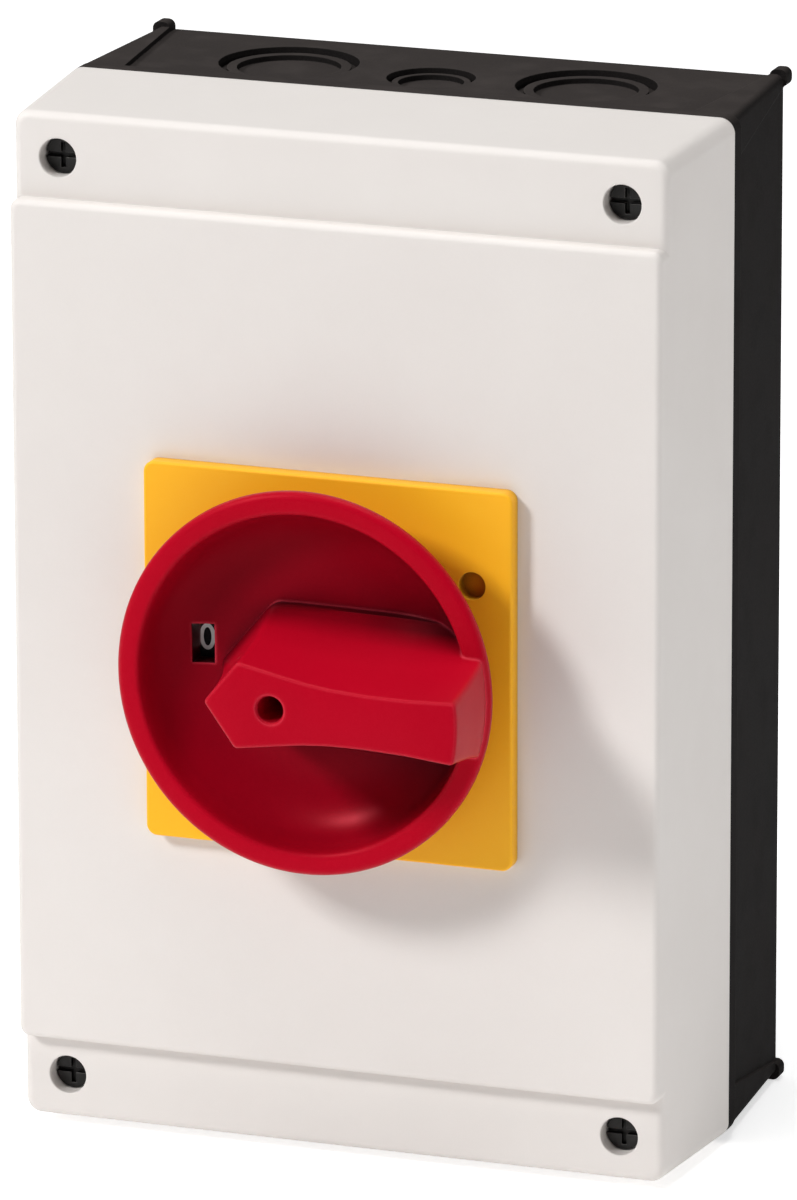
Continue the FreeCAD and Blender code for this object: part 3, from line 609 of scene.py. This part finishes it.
def ringOutline(width, height):
    outline = []
    for step in range(mark["steps"]):
        angle = 2 * math.pi * step / mark["steps"]
        outline.append((width / 2 * math.cos(angle), height / 2 * math.sin(angle)))
    return outline


def makeMark(name, centreX, centreZ, outer, inner=None):
    shape = [(centreX + x, centreZ + z) for x, z in outer]
    piece = prism(name, shape, mark["y"] + mark["sunk"], mark["y"] - mark["lift"], markWhite)
    if inner:
        hole = [(centreX + x, centreZ + z) for x, z in inner]
        carve(piece, prism("markTool", hole, mark["y"] + 1, mark["y"] - 1, markWhite), "DIFFERENCE")
    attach(piece, "cover")


zeroOuter = ringOutline(mark["width"], mark["height"])
zeroInner = ringOutline(mark["width"] - 2 * mark["stroke"], mark["height"] - 2 * mark["stroke"])
makeMark("markOff", mark["offX"], knob["axisZ"] + mark["offZ"], zeroOuter, zeroInner)
half, tall = mark["stroke"] / 2, mark["height"] / 2
onBar = [(-half, -tall), (half, -tall), (half, tall), (-half, tall)]
makeMark("markOn", mark["offZ"], knob["axisZ"] - mark["offX"], onBar)   # a quarter turn on from markOff
print("marks made")

# contact springs, drawn as true coils between housing and bridge
coil = {"turns": 5.5, "radius": 2.9, "wire": 0.35, "bunch": 0.11, "steps": 26, "sides": 10, "crease": 50}


def makeCoil(number):
    low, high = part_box("contact_spring_" + str(number))
    centre = (low + high) / 2 / mm
    length = (high.x - low.x) / mm - 2 * coil["wire"]
    count = int(coil["turns"] * coil["steps"])
    sides = coil["sides"]
    points = []
    for step in range(count + 1):
        part = step / count
        angle = 2 * math.pi * coil["turns"] * part
        # end turns lie closer together than the middle ones
        along = part - coil["bunch"] * math.sin(2 * math.pi * part)
        spot = Vector((low.x / mm + coil["wire"] + length * min(max(along, 0), 1),
                       centre.y + coil["radius"] * math.cos(angle),
                       centre.z + coil["radius"] * math.sin(angle)))
        inward = Vector((0, math.cos(angle), math.sin(angle)))
        across = Vector((1, 0, 0))
        for side in range(sides):
            turn = 2 * math.pi * side / sides
            points.append(spot + (inward * math.cos(turn) + across * math.sin(turn)) * coil["wire"])
    faces = [tuple(range(sides)), tuple(count * sides + side for side in reversed(range(sides)))]
    for step in range(count):
        for side in range(sides):
            after = (side + 1) % sides
            faces.append((step * sides + side, (step + 1) * sides + side,
                          (step + 1) * sides + after, step * sides + after))
    piece = newPiece("springCoil" + str(number), points, faces, finishes["spring_steel"])
    tidyNormals(piece)
    smoothByAngle(piece, coil["crease"])
    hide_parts("contact_spring_" + str(number))
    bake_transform(piece)


for number in (1, 2, 3):
    makeCoil(number)
print("springs made")

# floor, light and camera
studio = {"floorZ": -121.2, "floorSize": 2.8, "floorGlow": 0.60, "floorBounce": 0.35, "floorRough": 0.85,
          "floorColour": rgb(0.93, 0.93, 0.93), "floorShade": rgb(0.90, 0.90, 0.905), "cloudTint": 0.3,
          "cloudNoise": (1.5, 2.0, 0.5), "cloudSpan": (0.3, 0.7), "world": 0.13, "backdrop": 1.05}
lights = {"keyLight": {"place": (-1.5, -1.7, 1.5), "target": (0, -0.08, 0), "size": 0.55, "power": 49.0},
          "topLight": {"place": (0.0, -0.2, 1.8), "target": (0, -0.05, 0), "size": 1.0, "power": 19.0},
          "sideLight": {"place": (2.0, 0.0, 0.2), "target": (0, -0.05, 0), "size": 0.9, "power": 9.6},
          "fillLight": {"place": (0.9, -2.2, 0.1), "target": (0, -0.08, 0), "size": 1.2, "power": 0.5}}


def makeFloor():
    finish = Finish("paleFloor")
    cloud = finish.span(finish.noise(*studio["cloudNoise"]), studio["cloudSpan"])
    pale = finish.tint(cloud * studio["cloudTint"], studio["floorColour"], studio["floorShade"])
    finish.feed("Base Color", pale)
    finish.feed("Roughness", studio["floorRough"])
    glow = studio["floorBounce"]   # the sheet looks white but throws little light back
    seen = finish.add("ShaderNodeLightPath", {}, {}, "Is Camera Ray")
    finish.feed("Emission Color", finish.tint(seen, rgb(glow, glow, glow), rgb(1, 1, 1)))
    finish.feed("Emission Strength", studio["floorGlow"])
    side = studio["floorSize"] / 2 / mm
    level = studio["floorZ"]
    points = [(-side, -side, level), (side, -side, level), (side, side, level), (-side, side, level)]
    floor = newPiece("paleFloorSheet", points, [(0, 1, 2, 3)], finish.material)


def makeLight(name, light):
    lamp = bpy.data.lights.new(name, "AREA")
    lamp.shape = "SQUARE"
    lamp.size = light["size"]
    lamp.energy = light["power"]
    holder = bpy.data.objects.new(name, lamp)
    holder.location = light["place"]
    aim = Vector(light["target"]) - Vector(light["place"])
    holder.rotation_euler = aim.to_track_quat("-Z", "Y").to_euler()
    bpy.context.scene.collection.objects.link(holder)


def makeWorld():
    world = bpy.data.worlds.new("studioWorld")
    bpy.context.scene.world = world
    world.use_nodes = True
    tree = world.node_tree
    tree.nodes.clear()
    seen = tree.nodes.new("ShaderNodeBackground")   # the plain backdrop itself
    seen.inputs["Strength"].default_value = studio["backdrop"]
    around = tree.nodes.new("ShaderNodeBackground")   # the light it gives
    around.inputs["Strength"].default_value = studio["world"]
    for shade in (seen, around):
        shade.inputs["Color"].default_value = rgb(1.0, 1.0, 1.0)
    rays = tree.nodes.new("ShaderNodeLightPath")
    join = tree.nodes.new("ShaderNodeMixShader")
    tree.links.new(rays.outputs["Is Camera Ray"], join.inputs[0])
    tree.links.new(around.outputs[0], join.inputs[1])
    tree.links.new(seen.outputs[0], join.inputs[2])
    tree.links.new(join.outputs[0], tree.nodes.new("ShaderNodeOutputWorld").inputs[0])


makeFloor()
makeWorld()
for name, light in lights.items():
    makeLight(name, light)

# angles in radians, lengths in metres, the lens and its sensor in millimetres
lens = {"place": (0.7945, -2.2456, 0.6603), "yaw": 0.3473, "pitch": 0.2753, "roll": -0.0024,
        "length": 317.96, "sensor": 36.0, "near": 0.05, "far": 30}


def makeCamera():
    yaw, pitch, roll = lens["yaw"], lens["pitch"], lens["roll"]
    ahead = Vector((-math.sin(yaw) * math.cos(pitch), math.cos(yaw) * math.cos(pitch), -math.sin(pitch)))
    right = Vector((math.cos(yaw), math.sin(yaw), 0))
    up = right.cross(ahead)
    across = right * math.cos(roll) + up * math.sin(roll)
    upward = up * math.cos(roll) - right * math.sin(roll)
    camera = bpy.data.objects.new("viewCamera", bpy.data.cameras.new("viewCamera"))
    camera.data.lens = lens["length"]
    camera.data.sensor_width = lens["sensor"]
    camera.data.sensor_height = lens["sensor"]
    camera.data.sensor_fit = "AUTO"
    camera.data.clip_start = lens["near"]
    camera.data.clip_end = lens["far"]
    turn = Matrix((across, upward, -ahead)).transposed().to_4x4()
    camera.matrix_world = Matrix.Translation(lens["place"]) @ turn
    bpy.context.scene.collection.objects.link(camera)
    bpy.context.scene.camera = camera


makeCamera()
bpy.context.scene.view_settings.view_transform = "Standard"
bpy.context.scene.view_settings.look = "None"
print("studio ready")

bpy.context.view_layer.update()
